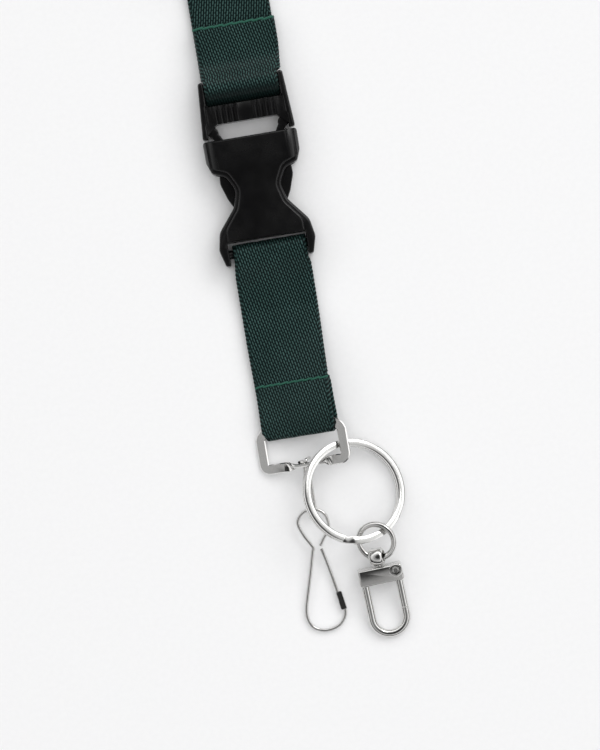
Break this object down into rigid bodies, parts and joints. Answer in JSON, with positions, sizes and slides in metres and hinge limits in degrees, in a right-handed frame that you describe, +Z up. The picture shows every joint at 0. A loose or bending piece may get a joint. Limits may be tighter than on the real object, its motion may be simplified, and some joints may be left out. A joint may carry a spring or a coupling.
{
  "type": "lanyard",
  "caption": "Neck lanyard end in dark green webbing with a black side-release buckle, steel bracket, wire hook, split ring and swivel clasp, neck loop folded and tied.",
  "frame": {"origin": "underside of the female buckle body, below the middle of its waist", "axes": "+Y along the strap towards the neck, +Z up from the surface it lies on, +X to the right"},
  "size_m": [0.0344, 0.2817, 0.0114],
  "materials": {
    "green_webbing": "woven matte",
    "green_thread": "satin thread",
    "black_plastic": "fine satin",
    "nickel_steel": "polished nickel plate",
    "black_band": "matte"
  },
  "bodies": {
    "neck_end": {"neck_strap": "green_webbing", "strap_tie": "black_band", "neck_stitch": "green_thread", "male_frame": "black_plastic"},
    "right_prong": {"prong_right": "black_plastic"},
    "left_prong": {"prong_left": "black_plastic"},
    "female_end": {"female_body": "black_plastic", "lower_webbing": "green_webbing", "lower_stitch": "green_thread"},
    "bracket_body": {"bracket": "nickel_steel"},
    "link": {"swivel_link": "nickel_steel"},
    "hook": {"hook_wire": "nickel_steel"},
    "hook_leg": {"hook_gate": "nickel_steel"},
    "ring": {"split_ring": "nickel_steel"},
    "jump": {"jump_ring": "nickel_steel"},
    "eye": {"clasp_eye": "nickel_steel", "swivel_rivet": "nickel_steel"},
    "clasp": {"clasp_head": "nickel_steel", "clasp_bail": "nickel_steel", "gate_pin": "nickel_steel", "gate_spring": "nickel_steel"},
    "gate": {"clasp_gate": "nickel_steel"}
  },
  "joints": [
    {"name": "prong_right_flex", "type": "hinge", "parent": "neck_end", "child": "right_prong", "pos_m": [0.00845, 0.01475, 0.0035], "axis": [0, 0, -1], "range_deg": [0, 7], "stiffness_Nm_per_rad": 0.02},
    {"name": "prong_left_flex", "type": "hinge", "parent": "neck_end", "child": "left_prong", "pos_m": [-0.00845, 0.01475, 0.0035], "axis": [0, 0, 1], "range_deg": [0, 7], "stiffness_Nm_per_rad": 0.02},
    {"name": "female_slide", "type": "slide", "parent": "neck_end", "child": "female_end", "axis": [0, -1, 0], "range_m": [0, 0.022], "deforming": ["prong_left", "prong_right"]},
    {"name": "bracket_swing", "type": "hinge", "parent": "female_end", "child": "bracket_body", "pos_m": [0.00035, -0.0581, 0.00395], "axis": [-0.9563, 0, -0.2924], "range_deg": [0, 60], "deforming": ["lower_webbing"]},
    {"name": "link_swivel", "type": "hinge", "parent": "bracket_body", "child": "link", "pos_m": [0.00015, -0.0673, 0.00389], "axis": [0, -0.9826, -0.1857], "continuous": true},
    {"name": "hook_lift", "type": "hinge", "parent": "link", "child": "hook", "pos_m": [-0.0003, -0.0782, 0.00187], "axis": [-1, 0, 0], "range_deg": [0, 30]},
    {"name": "hook_gate_flex", "type": "hinge", "parent": "hook", "child": "hook_leg", "pos_m": [0.00065, -0.08794, 0.00148], "axis": [0, 0.0401, -0.9992], "range_deg": [0, 10], "stiffness_Nm_per_rad": 0.005},
    {"name": "ring_swing", "type": "hinge", "parent": "bracket_body", "child": "ring", "pos_m": [0.0102, -0.0636, 0.00418], "axis": [-0.94, -0.03, 0.34], "range_deg": [0, 45]},
    {"name": "jump_ring_swing", "type": "hinge", "parent": "ring", "child": "jump", "pos_m": [0.01329, -0.08706, 0.0065], "axis": [-0.9077, -0.2159, 0.3599], "range_deg": [0, 15]},
    {"name": "clasp_eye_swing", "type": "hinge", "parent": "jump", "child": "eye", "pos_m": [0.0135, -0.09233, 0.0046], "axis": [-0.9578, 0.014, -0.287], "range_deg": [0, 45]},
    {"name": "clasp_swivel", "type": "hinge", "parent": "eye", "child": "clasp", "pos_m": [0.0135, -0.09233, 0.0046], "axis": [0.0428, -0.9807, -0.1908], "continuous": true},
    {"name": "clasp_gate_turn", "type": "hinge", "parent": "clasp", "child": "gate", "pos_m": [0.01734, -0.09545, 0.00396], "axis": [-0.0083, 0.1906, -0.9816], "range_deg": [0, 25], "stiffness_Nm_per_rad": 0.003}
  ],
  "couplings": [
    {"joint": "prong_left_flex", "follows": "prong_right_flex", "ratio": 1}
  ]
}
